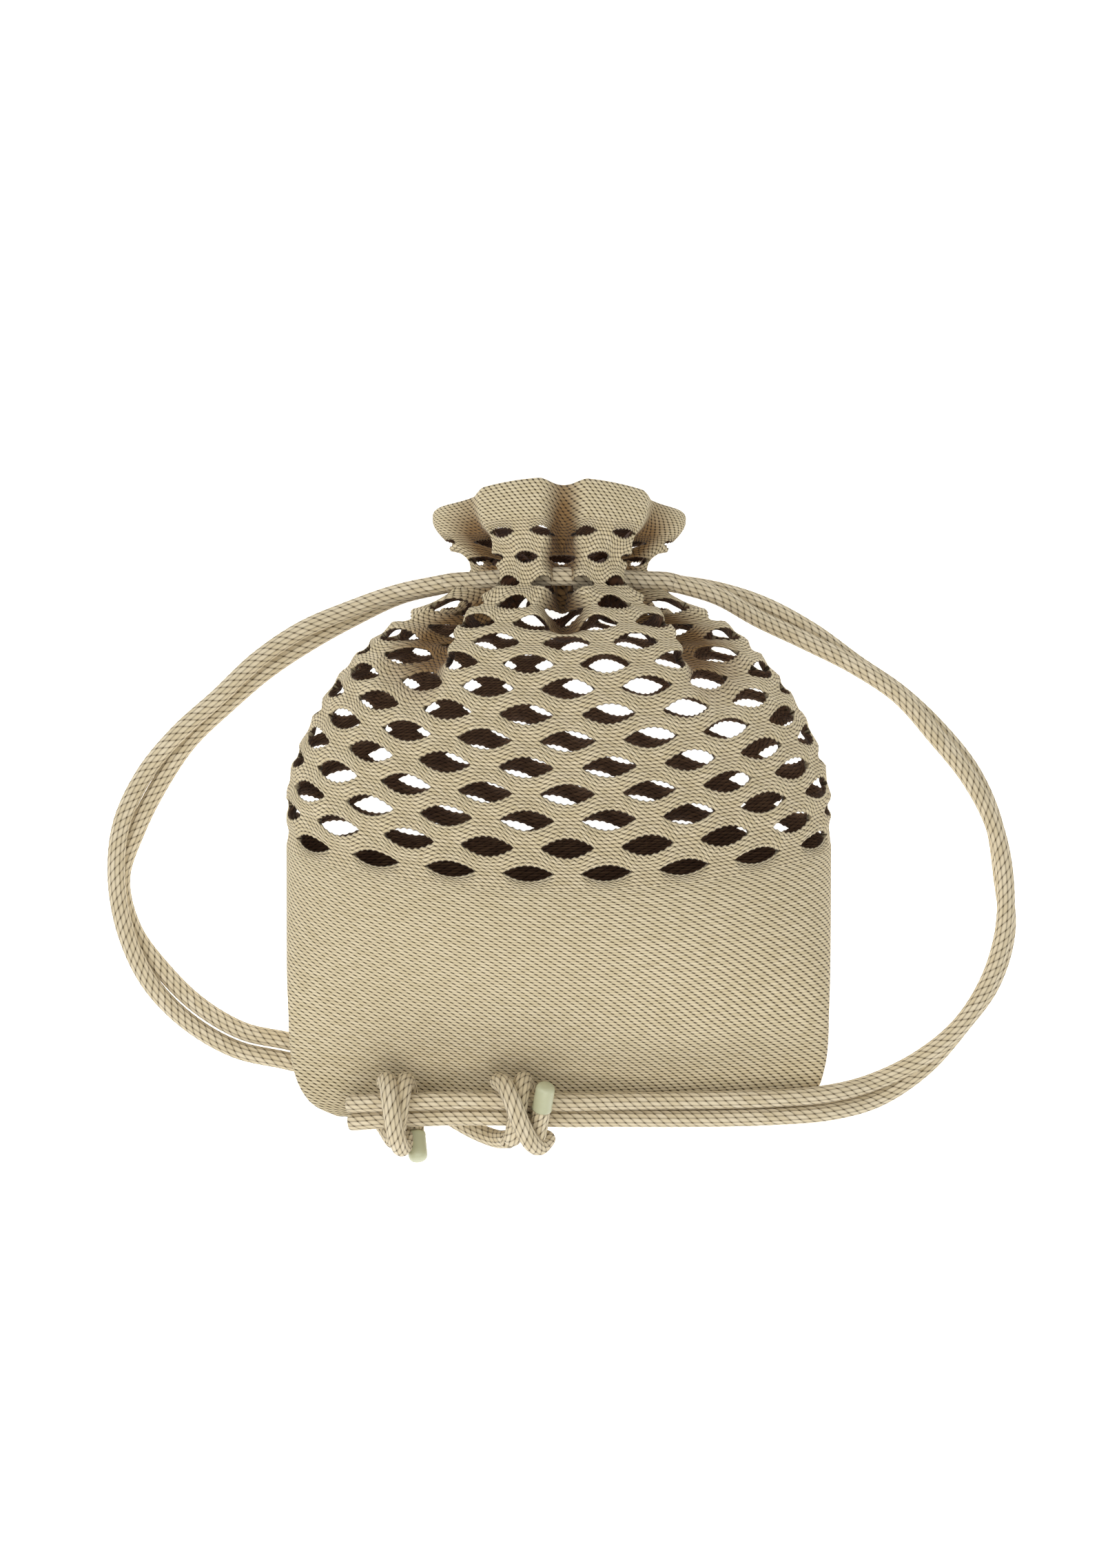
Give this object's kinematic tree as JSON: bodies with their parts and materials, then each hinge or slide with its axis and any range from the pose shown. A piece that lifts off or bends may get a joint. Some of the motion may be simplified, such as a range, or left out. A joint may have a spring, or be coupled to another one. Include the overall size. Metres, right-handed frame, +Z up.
{
  "type": "knitted drawstring shoulder bag",
  "caption": "Knitted cotton drawstring shoulder bag with a net upper part, a gathered neck with a frill, and knotted knitted cords laid beside it.",
  "frame": {"origin": "on the surface that the bag lies on, under the middle of the bag's own box", "axes": "+X across the bag, +Y from its closed bottom to its mouth, +Z up from the surface to the bag's front"},
  "size_m": [0.3392, 0.2505, 0.0843],
  "materials": {
    "knit": "matt cotton knit, light beige with dark brown flecks",
    "cord": "matt knitted cord, light beige with dark brown flecks",
    "aglet": "satin, pale sage"
  },
  "bodies": {
    "root": {"knit_bag": "knit", "front_drawstring": "cord", "back_drawstring": "cord", "right_strand_1": "cord", "right_strand_2": "cord", "left_strand_1": "cord", "left_strand_2": "cord", "knot_1": "cord", "knot_2": "cord", "aglet_1": "aglet", "aglet_2": "aglet"}
  },
  "joints": []
}
